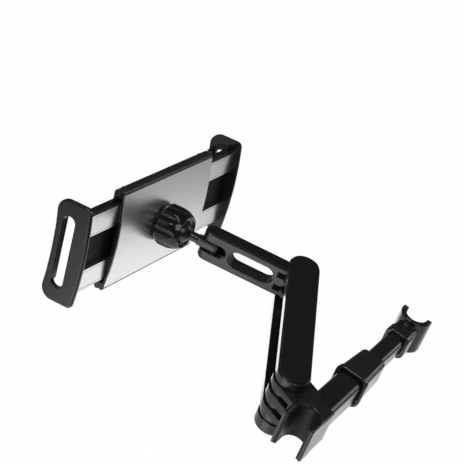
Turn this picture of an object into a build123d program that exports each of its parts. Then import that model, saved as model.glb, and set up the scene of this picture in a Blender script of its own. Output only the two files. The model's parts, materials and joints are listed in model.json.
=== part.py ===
from build123d import *
import os
from math import cos, radians, sin, sqrt

os.makedirs("parts", exist_ok=True)

# Clearances
running = 0.05
snug = 0.1
free = 0.3

# Headrest posts and the saddles that grip them
post_spacing = 144.0
post_radius = 7.2
liner_wall = 1.2
saddle_wall = 2.2
saddle_height = 24.6
near_lip = 9.0
far_lip = 2.0
liner_setback = 0.6
saddle_edge = 1.0
saddle_inner_edge = 0.6

# Telescoping bar
outer_tube_width = 17.0
outer_tube_height = 18.0
outer_tube_wall = 1.4
outer_tube_corner = 4.0
outer_tube_length = 58.0
inner_tube_width = 12.0
inner_tube_height = 13.0
inner_tube_wall = 1.2
inner_tube_corner = 3.0
socket_floor = 1.4
boss_wall = 1.9
boss_length = 11.5
boss_slant = 6.5
collar_flange_width = 22.0
collar_flange_height = 23.5
collar_flange_length = 4.0
collar_body_length = 27.0
collar_overlap = 13.0
collar_wall = 1.6
collar_taper = 1.4
collar_relief = 1.1
guide_length = 12.0
guide_cap = 2.0
spring_spigot_length = 5.0
spring_spigot_radius = 3.6
bar_spring_radius = 5.0
bar_spring_wire = 0.6
bar_spring_turns = 8
far_socket_depth = 13.0
far_neck_length = 24.0
far_neck_wall = 2.4
far_mouth_length = 8.0
far_waist_wall = 1.4

# Hinge knuckles, shared by the base block, the lower arm and the upper arm
knuckle_height = 22.0
finger_level = 5.0
finger_thickness = 3.6
finger_radius = 10.0
finger_slot_depth = 13.3
pin_radius = 3.0
pin_head_radius = 5.0
pin_head_height = 2.8
hex_nut_radius = 5.2

# Lower arm, from the base hinge
hinge_x = 19.0
hinge_y = 22.0
lug_angle = 250.0
lug_radius = 11.2
lug_length = 18.0
lower_arm_angle = 28.0
lower_arm_length = 104.5
lower_arm_width = 20.4
lower_plate_thickness = 5.8
lower_web = 2.5
lower_web_setback = 15.0
lower_pad_width = 18.8
pad_recess = 0.6
lower_pad_thickness = 1.8
hinge_cap_radius = 10.9
hinge_cap_height = 8.9
hinge_cap_edge = 2.5
hinge_cap_grip = 6.0

# Upper arm, from the elbow
upper_arm_angle = 104.0
upper_arm_length = 58.0
upper_arm_width = 10.8
upper_arm_offset = 1.8
upper_fork_reach = 3.9
upper_pad_margin = 0.7
upper_pad_thickness = 0.8
window_start = 15.4
window_wall = 2.2
window_height = 12.1
fork_gap = 9.0
fork_slot_depth = 9.1
fork_web = 2.0
fork_web_inset = 0.2
wrist_pin_radius = 1.6
wrist_head_radius = 2.6
wrist_head_height = 1.6

# Ball stem and its joint
stem_length = 24.4
tongue_width = 6.8
tongue_thickness = 5.6
tongue_length = 10.0
neck_radius = 3.2
ball_radius = 8.0
seat_wall = 1.0
seat_rim_angle = 45.0
socket_wall = 1.6
socket_stub_wall = 0.8
nut_wall = 2.6
nut_scallop = 1.6
nut_scallop_radius = 5.0
nut_lobes = 8
nut_height = 17.0
mouth_height = 4.6
mouth_width = 20.4
mouth_chamfer = 0.9

# Cradle, tilted and rolled as it hangs on the ball
cradle_tilt = 10.0
cradle_roll = 7.1
cradle_turn = 1.1
tablet_face = 24.0
back_pad_thickness = 0.7
back_pad_width = 96.0
back_pad_height = 52.0
cradle_width = 108.2
cradle_height = 69.0
shell_side_wall = 5.2
shell_screw_inset = 8.0
cradle_edge = 2.5
crown_radius = 210.0
crown_level = 14.2
seam_level = 19.5
cavity_floor = 22.1
cavity_roof = 17.2
plate_thickness = 0.8
plate_margin = 0.6
spot_depth = 0.3

# Jaws and their slides
jaw_opening = 179.0
jaw_wall = 2.4
jaw_height = 68.0
jaw_back = 12.2
jaw_shoulder = 14.6
jaw_front = 38.8
jaw_waist = 2.4
jaw_corner = 8.0
jaw_back_corner = 3.8
jaw_edge = 1.2
jaw_window_length = 48.0
jaw_window_width = 8.8
jaw_window_level = 27.6
jaw_lip = 5.0
jaw_lip_thickness = 3.0
jaw_lip_level = 33.0
jaw_ledge = 4.0
jaw_pad_thickness = 1.0
slider_thickness = 1.6
slider_inner_end = 28.5
rail_width = 14.1
rail_thickness = 2.7
rail_centre = 18.75
rail_groove = 0.4
rail_groove_inset = 1.3
spring_post_radius = 0.8
jaw_spring_radius = 1.0
jaw_spring_wire = 0.25
jaw_spring_turns = 20

# Small screws
screw_radius = 1.2
screw_head_radius = 2.2
screw_head_height = 1.3

# Values worked out from the sizes above
saddle_inner = post_radius + liner_wall
liner_height = saddle_height - 2 * liner_setback
saddle_outer = saddle_inner + saddle_wall
boss_width = outer_tube_width + 2 * boss_wall
boss_height = outer_tube_height + 2 * boss_wall + 1.2
socket_x = saddle_outer + socket_floor
tube_mouth_x = socket_x + outer_tube_length
collar_x = tube_mouth_x - collar_overlap
collar_end_x = collar_x + collar_flange_length + collar_body_length
tube_bore_width = outer_tube_width - 2 * outer_tube_wall
tube_bore_height = outer_tube_height - 2 * outer_tube_wall
guide_x = tube_mouth_x - free - guide_length
far_neck_x = post_spacing - far_neck_length
channel_gap = knuckle_height + 2 * free
lower_top = channel_gap / 2 + lower_plate_thickness
bottom_pad_start = hinge_cap_radius + free + lower_pad_width / 2
finger_slot = finger_thickness + 2 * free
upper_body_height = knuckle_height - 2 * upper_pad_thickness
pin_bore = pin_radius + running
wrist_bore = wrist_pin_radius + running
pin_head_top = lower_top - pad_recess
wrist_head_top = upper_body_height / 2
neck_start = tongue_length
fork_slot_start = upper_arm_length - fork_slot_depth
window_length = fork_slot_start - window_wall - window_start
fork_web_length = fork_slot_depth - tongue_width / 2 - 2 * free
fork_web_place = (fork_web - upper_arm_width) / 2 - upper_arm_offset + fork_web_inset
seat_inner = ball_radius + free
seat_outer = seat_inner + seat_wall
socket_inner = seat_outer + free
socket_outer = socket_inner + socket_wall
socket_stub = socket_outer - socket_stub_wall
nut_inner = socket_outer + free
nut_outer = nut_inner + nut_wall
seat_level = crown_level + spot_depth
nut_foot = mouth_height - nut_height
shell_back = tablet_face - back_pad_thickness
cavity_height = cradle_height - 2 * shell_side_wall
crown_edge = cradle_height / 2 - cradle_edge
crown_drop = crown_radius - sqrt(crown_radius**2 - crown_edge**2)
jaw_inner = jaw_opening / 2 + jaw_pad_thickness
slider_foot = cavity_floor - free
rail_foot = slider_foot - slider_thickness
screw_bore = screw_radius + running

# Working planes: each arm has its own, and the cradle has a face plane and a section plane
lug_dir = (cos(radians(lug_angle)), sin(radians(lug_angle)), 0)
lug_plane = Plane(origin=(hinge_x, hinge_y, 0), x_dir=lug_dir, z_dir=(0, 0, 1))
lower_dir = (cos(radians(lower_arm_angle)), sin(radians(lower_arm_angle)), 0)
lower_plane = Plane(origin=(hinge_x, hinge_y, 0), x_dir=lower_dir, z_dir=(0, 0, 1))
elbow = lower_plane.from_local_coords((lower_arm_length, 0, 0))
upper_dir = (cos(radians(upper_arm_angle)), sin(radians(upper_arm_angle)), 0)
upper_plane = Plane(origin=elbow, x_dir=upper_dir, z_dir=(0, 0, 1))
upper_side = Plane(origin=elbow, x_dir=upper_dir, z_dir=(upper_dir[1], -upper_dir[0], 0))
wrist = upper_plane.from_local_coords((upper_arm_length, 0, 0))
stem_plane = Plane(origin=wrist, x_dir=upper_dir, z_dir=(0, 0, 1))
ball_centre = stem_plane.from_local_coords((stem_length, 0, 0))
tilt = radians(cradle_tilt)
roll = radians(cradle_roll)
level_across = Vector(cos(roll), -sin(roll) * sin(tilt), -sin(roll) * cos(tilt))
cradle_across = level_across.rotate(Axis.Z, cradle_turn)
cradle_normal = Vector(0, -cos(tilt), sin(tilt)).rotate(Axis.Z, cradle_turn)
cradle_plane = Plane(origin=ball_centre, x_dir=cradle_across, z_dir=cradle_normal)
cradle_up = cradle_plane.y_dir
section_plane = Plane(origin=ball_centre, x_dir=cradle_up, z_dir=cradle_across)

# Base block: tube socket, hinge lug and saddle in one moulding
with BuildPart() as base_block:
    with BuildSketch(Plane.XY.offset(-boss_height / 2)):
        with BuildLine():
            Polyline(
                (0, -boss_width / 2),
                (socket_x + boss_length - boss_slant, -boss_width / 2),
                (socket_x + boss_length, boss_width / 2),
                (0, boss_width / 2),
                close=True,
            )
        make_face()
    extrude(amount=boss_height)
    fillet(base_block.edges().group_by(Axis.Z)[-1], radius=1.2)
    fillet(base_block.edges().group_by(Axis.Z)[0], radius=1.2)
    with BuildSketch(lug_plane.offset(-knuckle_height / 2)):
        Circle(lug_radius)
        with Locations((lug_length / 2, 0)):
            Rectangle(lug_length, 2 * lug_radius)
    extrude(amount=knuckle_height)
    with BuildSketch(Plane.XY.offset(-saddle_height / 2)):
        Circle(saddle_outer)
        with Locations((-near_lip / 2, 0)):
            Rectangle(near_lip, 2 * saddle_outer)
    extrude(amount=saddle_height)
    fillet(base_block.edges().filter_by(Axis.Z).group_by(Axis.X)[0], radius=saddle_edge)
    fillet(base_block.edges().group_by(Axis.Z)[-1], radius=saddle_edge)
    fillet(base_block.edges().group_by(Axis.Z)[0], radius=saddle_edge)
    with BuildSketch(Plane.XY.offset(-saddle_height / 2)):
        Circle(saddle_inner)
        with Locations((-near_lip, 0)):
            Rectangle(2 * near_lip, 2 * saddle_inner)
    extrude(amount=saddle_height, mode=Mode.SUBTRACT)
    fillet(base_block.edges().filter_by(Axis.Z).group_by(Axis.X)[0], radius=saddle_inner_edge)
    with BuildSketch(Plane.YZ.offset(socket_x)):
        RectangleRounded(outer_tube_width + 2 * snug, outer_tube_height + 2 * snug, outer_tube_corner + snug)
    extrude(amount=2 * boss_length, mode=Mode.SUBTRACT)
    for level in (-finger_level, finger_level):
        with BuildSketch(lug_plane.offset(level - finger_slot / 2)):
            Circle(lug_radius + 2 * free)
            with Locations((finger_slot_depth / 2, -lug_radius / 2)):
                Rectangle(finger_slot_depth, lug_radius)
            with Locations((finger_slot_depth / 4, lug_radius / 2)):
                Rectangle(finger_slot_depth / 2, lug_radius)
        extrude(amount=finger_slot, mode=Mode.SUBTRACT)
    with BuildSketch(lug_plane.offset(-knuckle_height / 2)):
        Circle(pin_bore)
    extrude(amount=knuckle_height, mode=Mode.SUBTRACT)
    with BuildSketch(Plane.XY.offset(-boss_height / 2)):
        with Locations((socket_x + boss_length / 4, 0)):
            Circle(screw_bore)
    extrude(amount=boss_height / 2, mode=Mode.SUBTRACT)
base_block.part.label = "base_block"
export_step(base_block.part, "parts/base_block.step")

# Rubber lining of the near saddle
with BuildPart() as base_saddle_liner:
    with BuildSketch(Plane.XY.offset(-liner_height / 2)):
        Circle(saddle_inner)
        with Locations((-(near_lip - liner_setback) / 2, 0)):
            Rectangle(near_lip - liner_setback, 2 * saddle_inner)
        Circle(post_radius, mode=Mode.SUBTRACT)
        with Locations((-near_lip / 2, 0)):
            Rectangle(near_lip, 2 * post_radius, mode=Mode.SUBTRACT)
    extrude(amount=liner_height)
base_saddle_liner.part.label = "base_saddle_liner"
export_step(base_saddle_liner.part, "parts/base_saddle_liner.step")

# Outer tube of the bar
with BuildPart() as outer_tube:
    with BuildSketch(Plane.YZ.offset(socket_x)):
        RectangleRounded(outer_tube_width, outer_tube_height, outer_tube_corner)
        RectangleRounded(
            tube_bore_width, tube_bore_height, outer_tube_corner - outer_tube_wall, mode=Mode.SUBTRACT
        )
    extrude(amount=outer_tube_length)
    with BuildSketch(Plane.XY.offset(-outer_tube_height / 2)):
        with Locations((socket_x + boss_length / 4, 0), (collar_x + collar_overlap / 2, 0)):
            Circle(screw_bore)
    extrude(amount=outer_tube_wall, mode=Mode.SUBTRACT)
outer_tube.part.label = "outer_tube"
export_step(outer_tube.part, "parts/outer_tube.step")

# Screw that holds the outer tube in the base block, from below
with BuildPart() as outer_tube_screw:
    with BuildSketch(Plane.XY.offset(-boss_height / 2)):
        with Locations((socket_x + boss_length / 4, 0)):
            Circle(screw_head_radius)
    extrude(amount=-screw_head_height)
    with BuildSketch(Plane.XY.offset(-boss_height / 2)):
        with Locations((socket_x + boss_length / 4, 0)):
            Circle(screw_radius)
    extrude(amount=(boss_height - tube_bore_height) / 2)
outer_tube_screw.part.label = "outer_tube_screw"
export_step(outer_tube_screw.part, "parts/outer_tube_screw.step")

# Tapered collar on the tube's mouth
with BuildPart() as tube_collar:
    with BuildSketch(Plane.YZ.offset(collar_x)):
        RectangleRounded(collar_flange_width, collar_flange_height, outer_tube_corner + collar_wall)
    extrude(amount=collar_flange_length)
    fillet(tube_collar.edges().filter_by(Axis.X, reverse=True), radius=1.0)
    with BuildSketch(Plane.YZ.offset(collar_x + collar_flange_length / 2)):
        RectangleRounded(
            outer_tube_width + 2 * collar_wall, outer_tube_height + 2 * collar_wall, outer_tube_corner
        )
    with BuildSketch(Plane.YZ.offset(collar_end_x)):
        RectangleRounded(
            outer_tube_width + 2 * (collar_wall - collar_taper),
            outer_tube_height + 2 * (collar_wall - collar_taper),
            outer_tube_corner,
        )
    loft()
    fillet(tube_collar.faces().sort_by(Axis.X)[-1].edges(), radius=1.6)
    with BuildSketch(Plane.YZ.offset(collar_x)):
        RectangleRounded(outer_tube_width + 2 * snug, outer_tube_height + 2 * snug, outer_tube_corner + snug)
    extrude(amount=collar_overlap, mode=Mode.SUBTRACT)
    with BuildSketch(Plane.YZ.offset(tube_mouth_x)):
        RectangleRounded(inner_tube_width + 2 * free, inner_tube_height + 2 * free, inner_tube_corner + free)
    extrude(amount=collar_end_x - tube_mouth_x, mode=Mode.SUBTRACT)
    with BuildSketch(Plane.YZ.offset(collar_x)):
        RectangleRounded(
            outer_tube_width + 2 * collar_relief,
            outer_tube_height + 2 * collar_relief,
            outer_tube_corner + collar_relief,
        )
    extrude(amount=collar_flange_length / 2, mode=Mode.SUBTRACT)
    with BuildSketch(Plane.XY.offset(-outer_tube_height)):
        with Locations((collar_x + collar_overlap / 2, 0)):
            Circle(screw_bore)
    extrude(amount=outer_tube_height, mode=Mode.SUBTRACT)
tube_collar.part.label = "tube_collar"
export_step(tube_collar.part, "parts/tube_collar.step")

# Screw that holds the collar on the tube, from below, sunk to the sleeve's thickness
collar_screw_top = -tube_bore_height / 2 - 0.2
collar_screw_foot = -outer_tube_height / 2 - collar_wall
with BuildPart() as tube_collar_screw:
    with BuildSketch(Plane.XY.offset(collar_screw_top)):
        with Locations((collar_x + collar_overlap / 2, 0)):
            Circle(screw_radius)
    extrude(amount=collar_screw_foot - collar_screw_top)
tube_collar_screw.part.label = "tube_collar_screw"
export_step(tube_collar_screw.part, "parts/tube_collar_screw.step")

# Inner tube of the bar
inner_tube_end = far_neck_x + far_socket_depth
with BuildPart() as inner_tube:
    with BuildSketch(Plane.YZ.offset(guide_x)):
        RectangleRounded(inner_tube_width, inner_tube_height, inner_tube_corner)
        RectangleRounded(
            inner_tube_width - 2 * inner_tube_wall,
            inner_tube_height - 2 * inner_tube_wall,
            inner_tube_corner - inner_tube_wall,
            mode=Mode.SUBTRACT,
        )
    extrude(amount=inner_tube_end - guide_x)
    with BuildSketch(Plane.XY.offset(-inner_tube_height / 2)):
        with Locations((far_neck_x + far_socket_depth / 4, 0)):
            Circle(screw_bore)
    extrude(amount=inner_tube_wall, mode=Mode.SUBTRACT)
inner_tube.part.label = "inner_tube"
export_step(inner_tube.part, "parts/inner_tube.step")

# Plastic guide on the inner tube's hidden end, with a spigot for the spring
with BuildPart() as inner_tube_guide:
    with BuildSketch(Plane.YZ.offset(guide_x - guide_cap)):
        RectangleRounded(
            tube_bore_width - 2 * free,
            tube_bore_height - 2 * free,
            outer_tube_corner - outer_tube_wall - free,
        )
    extrude(amount=guide_cap + guide_length)
    with BuildSketch(Plane.YZ.offset(guide_x)):
        RectangleRounded(inner_tube_width, inner_tube_height, inner_tube_corner)
    extrude(amount=guide_length, mode=Mode.SUBTRACT)
    with BuildSketch(Plane.YZ.offset(guide_x - guide_cap)):
        Circle(spring_spigot_radius)
    extrude(amount=-spring_spigot_length)
inner_tube_guide.part.label = "inner_tube_guide"
export_step(inner_tube_guide.part, "parts/inner_tube_guide.step")

# Compression spring between the base block and the guide
bar_spring_start = socket_x + bar_spring_wire + snug
bar_spring_length = guide_x - guide_cap - bar_spring_wire - snug - bar_spring_start
with BuildPart() as bar_spring:
    with BuildLine() as bar_coil:
        Helix(
            bar_spring_length / bar_spring_turns,
            bar_spring_length,
            bar_spring_radius,
            center=(bar_spring_start, 0, 0),
            direction=(1, 0, 0),
        )
    with BuildSketch(Plane(origin=bar_coil.line @ 0, z_dir=bar_coil.line % 0)):
        Circle(bar_spring_wire)
    sweep(path=bar_coil.line, is_frenet=True)
bar_spring.part.label = "bar_spring"
export_step(bar_spring.part, "parts/bar_spring.step")

# Far saddle with the inner tube's socket, a mouth and a narrower waist
far_neck_width = inner_tube_width + 2 * far_neck_wall
far_neck_height = inner_tube_height + 2 * far_neck_wall
with BuildPart() as far_saddle:
    with BuildSketch(Plane.YZ.offset(far_neck_x)):
        RectangleRounded(far_neck_width, far_neck_height, inner_tube_corner + 1)
    extrude(amount=far_mouth_length)
    fillet(far_saddle.edges().filter_by(Axis.X, reverse=True), radius=0.8)
    with BuildSketch(Plane.YZ.offset(far_neck_x + far_mouth_length / 2)):
        RectangleRounded(
            inner_tube_width + 2 * far_waist_wall, inner_tube_height + 2 * far_waist_wall, inner_tube_corner
        )
    extrude(amount=far_neck_length - saddle_inner - far_mouth_length / 2)
    with BuildSketch(Plane.XY.offset(-saddle_height / 2)):
        with Locations((post_spacing, 0)):
            Circle(saddle_outer)
        with Locations((post_spacing + far_lip / 2, 0)):
            Rectangle(far_lip, 2 * saddle_outer)
        with Locations((post_spacing + far_lip + saddle_outer, 0)):
            Rectangle(2 * saddle_outer, 3 * saddle_outer, mode=Mode.SUBTRACT)
    extrude(amount=saddle_height)
    fillet(far_saddle.edges().filter_by(Axis.Z).group_by(Axis.X)[-1], radius=saddle_edge)
    fillet(far_saddle.edges().group_by(Axis.Z)[-1], radius=saddle_edge)
    fillet(far_saddle.edges().group_by(Axis.Z)[0], radius=saddle_edge)
    with BuildSketch(Plane.XY.offset(-saddle_height / 2)):
        with Locations((post_spacing, 0)):
            Circle(saddle_inner)
        with Locations((post_spacing + far_lip, 0)):
            Rectangle(2 * far_lip, 2 * saddle_inner)
    extrude(amount=saddle_height, mode=Mode.SUBTRACT)
    fillet(far_saddle.edges().filter_by(Axis.Z).group_by(Axis.X)[-1], radius=saddle_inner_edge)
    with BuildSketch(Plane.YZ.offset(far_neck_x)):
        RectangleRounded(inner_tube_width + 2 * snug, inner_tube_height + 2 * snug, inner_tube_corner + snug)
    extrude(amount=far_socket_depth, mode=Mode.SUBTRACT)
    with BuildSketch(Plane.XY.offset(-saddle_height / 2)):
        with Locations((far_neck_x + far_socket_depth / 4, 0)):
            Circle(screw_bore)
    extrude(amount=saddle_height / 2, mode=Mode.SUBTRACT)
far_saddle.part.label = "far_saddle"
export_step(far_saddle.part, "parts/far_saddle.step")

# Rubber lining of the far saddle
with BuildPart() as far_saddle_liner:
    with BuildSketch(Plane.XY.offset(-liner_height / 2)):
        with Locations((post_spacing, 0)):
            Circle(saddle_inner)
        with Locations((post_spacing + far_lip / 2, 0)):
            Rectangle(far_lip, 2 * saddle_inner)
        with Locations((post_spacing, 0)):
            Circle(post_radius, mode=Mode.SUBTRACT)
        with Locations((post_spacing + saddle_inner / 2, 0)):
            Rectangle(saddle_inner, 2 * post_radius, mode=Mode.SUBTRACT)
        with Locations((post_spacing + far_lip + saddle_inner / 2, 0)):
            Rectangle(saddle_inner, 3 * saddle_inner, mode=Mode.SUBTRACT)
    extrude(amount=liner_height)
far_saddle_liner.part.label = "far_saddle_liner"
export_step(far_saddle_liner.part, "parts/far_saddle_liner.step")

# Grub screw that holds the inner tube in the far saddle, from below
far_screw_top = -inner_tube_height / 2 + inner_tube_wall
far_screw_foot = -far_neck_height / 2
with BuildPart() as far_saddle_screw:
    with BuildSketch(Plane.XY.offset(far_screw_top)):
        with Locations((far_neck_x + far_socket_depth / 4, 0)):
            Circle(screw_radius)
    extrude(amount=far_screw_foot - far_screw_top)
far_saddle_screw.part.label = "far_saddle_screw"
export_step(far_saddle_screw.part, "parts/far_saddle_screw.step")

# Lower arm frame: a channel open on its left side, with two fingers inside each end
with BuildPart() as lower_arm_frame:
    for foot, thickness in (
        (channel_gap / 2, lower_plate_thickness),
        (-channel_gap / 2, -lower_plate_thickness),
    ):
        with BuildSketch(lower_plane.offset(foot)):
            with Locations((lower_arm_length / 2, 0)):
                SlotCenterToCenter(lower_arm_length, lower_arm_width)
        extrude(amount=thickness)
    fillet(lower_arm_frame.edges().group_by(Axis.Z)[-1], radius=0.8)
    fillet(lower_arm_frame.edges().group_by(Axis.Z)[0], radius=0.8)
    with BuildSketch(lower_plane.offset(-channel_gap / 2)):
        with Locations((lower_arm_length / 2, (lower_web - lower_arm_width) / 2)):
            Rectangle(lower_arm_length - 2 * lower_web_setback, lower_web)
    extrude(amount=channel_gap)
    for level in (-finger_level, finger_level):
        for end, reach in ((0, lower_web_setback), (lower_arm_length, -lower_web_setback)):
            with BuildSketch(lower_plane.offset(level - finger_thickness / 2)):
                with Locations((end, 0)):
                    Circle(finger_radius)
                with BuildLine():
                    Polyline(
                        (end + reach * 0.43, -finger_radius * 0.7),
                        (end + reach, -lower_arm_width / 2),
                        (end + reach * 1.2, -lower_arm_width / 2),
                        (end + reach * 1.2, lower_web - lower_arm_width / 2),
                        (end + reach * 0.5, -finger_radius / 2),
                        (end, 0),
                        close=True,
                    )
                make_face()
            extrude(amount=finger_thickness)
    for top, depth, start in ((lower_top, -1, 0), (-lower_top, 1, bottom_pad_start)):
        with BuildSketch(lower_plane.offset(top)):
            with Locations(((start + lower_arm_length) / 2, 0)):
                SlotCenterToCenter(lower_arm_length - start, lower_pad_width)
        extrude(amount=depth * pad_recess, mode=Mode.SUBTRACT)
    with BuildSketch(lower_plane.offset(pin_head_top)):
        with Locations((0, 0), (lower_arm_length, 0)):
            Circle(pin_head_radius + snug)
    extrude(amount=-pin_head_height, mode=Mode.SUBTRACT)
    with BuildSketch(lower_plane.offset(-lower_top)):
        with Locations((0, 0), (lower_arm_length, 0)):
            RegularPolygon(hex_nut_radius + snug, 6)
    extrude(amount=pad_recess + pin_head_height, mode=Mode.SUBTRACT)
    with BuildSketch(lower_plane.offset(-lower_top)):
        with Locations((0, 0), (lower_arm_length, 0)):
            Circle(pin_bore)
    extrude(amount=2 * lower_top, mode=Mode.SUBTRACT)
lower_arm_frame.part.label = "lower_arm_frame"
export_step(lower_arm_frame.part, "parts/lower_arm_frame.step")

# Soft inlays of the lower arm
for name, floor, rise, start in (
    ("lower_arm_top_pad", pin_head_top, lower_pad_thickness, 0),
    ("lower_arm_bottom_pad", -pin_head_top, -lower_pad_thickness, bottom_pad_start),
):
    with BuildPart() as lower_pad:
        with BuildSketch(lower_plane.offset(floor)):
            with Locations(((start + lower_arm_length) / 2, 0)):
                SlotCenterToCenter(lower_arm_length - start, lower_pad_width)
        extrude(amount=rise)
        outer_rim = lower_pad.edges().group_by(Axis.Z)[-1 if rise > 0 else 0]
        fillet(outer_rim, radius=0.5)
    lower_pad.part.label = name
    export_step(lower_pad.part, f"parts/{name}.step")

# Hinge pins of the lower arm and their nuts
for name, along, grip in (("base_hinge", 0, hinge_cap_grip), ("elbow", lower_arm_length, 0)):
    with BuildPart() as hinge_pin:
        with BuildSketch(lower_plane.offset(pin_head_top)):
            with Locations((along, 0)):
                Circle(pin_head_radius)
        extrude(amount=-pin_head_height)
        with BuildSketch(lower_plane.offset(pin_head_top)):
            with Locations((along, 0)):
                Circle(pin_radius)
        extrude(amount=-2 * pin_head_top - grip)
    hinge_pin.part.label = f"{name}_pin"
    export_step(hinge_pin.part, f"parts/{name}_pin.step")
    with BuildPart() as hinge_nut:
        with BuildSketch(lower_plane.offset(-pin_head_top)):
            with Locations((along, 0)):
                RegularPolygon(hex_nut_radius, 6)
                Circle(pin_bore, mode=Mode.SUBTRACT)
        extrude(amount=pin_head_height)
    hinge_nut.part.label = f"{name}_nut"
    export_step(hinge_nut.part, f"parts/{name}_nut.step")

# Round cap screwed on the base hinge pin's foot
with BuildPart() as base_hinge_cap:
    with BuildSketch(lower_plane.offset(-lower_top)):
        Circle(hinge_cap_radius)
    extrude(amount=-hinge_cap_height)
    fillet(base_hinge_cap.edges().group_by(Axis.Z)[0], radius=hinge_cap_edge)
    with BuildSketch(lower_plane.offset(-lower_top)):
        Circle(pin_bore)
    extrude(amount=-hinge_cap_grip, mode=Mode.SUBTRACT)
base_hinge_cap.part.label = "base_hinge_cap"
export_step(base_hinge_cap.part, "parts/base_hinge_cap.step")

# Upper arm frame: knuckle, oblong window and fork
with BuildPart() as upper_arm_frame:
    with BuildSketch(upper_plane.offset(-upper_body_height / 2)):
        with Locations(((upper_arm_length + upper_fork_reach) / 2, -upper_arm_offset)):
            SlotCenterToCenter(upper_arm_length + upper_fork_reach, upper_arm_width)
    extrude(amount=upper_body_height)
    fillet(upper_arm_frame.edges().group_by(Axis.Z)[-1], radius=0.7)
    fillet(upper_arm_frame.edges().group_by(Axis.Z)[0], radius=0.7)
    with BuildSketch(upper_plane.offset(upper_pad_thickness - upper_body_height / 2)):
        Circle(upper_arm_width / 2 - snug)
    extrude(amount=upper_body_height - 2 * upper_pad_thickness)
    with BuildSketch(upper_side):
        with Locations((window_start + window_length / 2, 0)):
            SlotOverall(window_length, window_height)
    extrude(amount=upper_arm_width, both=True, mode=Mode.SUBTRACT)
    window_rims = upper_arm_frame.edges(Select.LAST).filter_by(Axis(elbow, upper_side.z_dir), reverse=True)
    fillet(window_rims, radius=0.6)
    with BuildSketch(upper_side):
        with Locations((fork_slot_start + upper_arm_length / 2, 0)):
            SlotOverall(upper_arm_length, fork_gap)
    extrude(amount=upper_arm_width, both=True, mode=Mode.SUBTRACT)
    with BuildSketch(upper_plane.offset(-fork_gap / 2 - fork_web_inset)):
        with Locations((fork_slot_start + fork_web_length / 2, fork_web_place)):
            Rectangle(fork_web_length, fork_web)
    extrude(amount=fork_gap + 2 * fork_web_inset)
    for level in (-finger_level, finger_level):
        with BuildSketch(upper_plane.offset(level - finger_slot / 2)):
            with Locations((finger_slot_depth - upper_arm_width, 0)):
                Rectangle(2 * upper_arm_width, 2 * upper_arm_width)
        extrude(amount=finger_slot, mode=Mode.SUBTRACT)
    with BuildSketch(upper_plane.offset(-upper_body_height / 2)):
        Circle(pin_bore)
        with Locations((upper_arm_length, 0)):
            Circle(wrist_bore)
    extrude(amount=upper_body_height, mode=Mode.SUBTRACT)
    with BuildSketch(upper_plane.offset(wrist_head_top)):
        with Locations((upper_arm_length, 0)):
            Circle(wrist_head_radius + snug)
    extrude(amount=-wrist_head_height, mode=Mode.SUBTRACT)
    with BuildSketch(upper_plane.offset(-wrist_head_top)):
        with Locations((upper_arm_length, 0)):
            RegularPolygon(wrist_head_radius + snug, 6)
    extrude(amount=wrist_head_height, mode=Mode.SUBTRACT)
upper_arm_frame.part.label = "upper_arm_frame"
export_step(upper_arm_frame.part, "parts/upper_arm_frame.step")

# Soft inlays of the upper arm, kept clear of the elbow pin
upper_pad_start = pin_radius + 2 * free + (upper_arm_width - 2 * upper_pad_margin) / 2
upper_pad_end = upper_arm_length + upper_fork_reach
for name, floor, rise in (
    ("upper_arm_top_pad", upper_body_height / 2, upper_pad_thickness),
    ("upper_arm_bottom_pad", -upper_body_height / 2, -upper_pad_thickness),
):
    with BuildPart() as upper_pad:
        with BuildSketch(upper_plane.offset(floor)):
            with Locations(((upper_pad_start + upper_pad_end) / 2, -upper_arm_offset)):
                SlotCenterToCenter(upper_pad_end - upper_pad_start, upper_arm_width - 2 * upper_pad_margin)
        extrude(amount=rise)
        outer_rim = upper_pad.edges().group_by(Axis.Z)[-1 if rise > 0 else 0]
        fillet(outer_rim, radius=0.3)
    upper_pad.part.label = name
    export_step(upper_pad.part, f"parts/{name}.step")

# Wrist pin, its nut and the two washers beside the tongue
with BuildPart() as wrist_pin:
    with BuildSketch(upper_plane.offset(wrist_head_top)):
        with Locations((upper_arm_length, 0)):
            Circle(wrist_head_radius)
    extrude(amount=-wrist_head_height)
    with BuildSketch(upper_plane.offset(wrist_head_top)):
        with Locations((upper_arm_length, 0)):
            Circle(wrist_pin_radius)
    extrude(amount=-2 * wrist_head_top)
wrist_pin.part.label = "wrist_pin"
export_step(wrist_pin.part, "parts/wrist_pin.step")

with BuildPart() as wrist_nut:
    with BuildSketch(upper_plane.offset(-wrist_head_top)):
        with Locations((upper_arm_length, 0)):
            RegularPolygon(wrist_head_radius, 6)
            Circle(wrist_bore, mode=Mode.SUBTRACT)
    extrude(amount=wrist_head_height)
wrist_nut.part.label = "wrist_nut"
export_step(wrist_nut.part, "parts/wrist_nut.step")

washer_thickness = (fork_gap - tongue_thickness) / 2 - snug
with BuildPart() as wrist_washers:
    for foot, rise in ((fork_gap / 2, -washer_thickness), (-fork_gap / 2, washer_thickness)):
        with BuildSketch(upper_plane.offset(foot)):
            with Locations((upper_arm_length, 0)):
                Circle(tongue_width / 2)
                Circle(wrist_bore, mode=Mode.SUBTRACT)
        extrude(amount=rise)
wrist_washers.part.label = "wrist_washers"
export_step(wrist_washers.part, "parts/wrist_washers.step")

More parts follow.
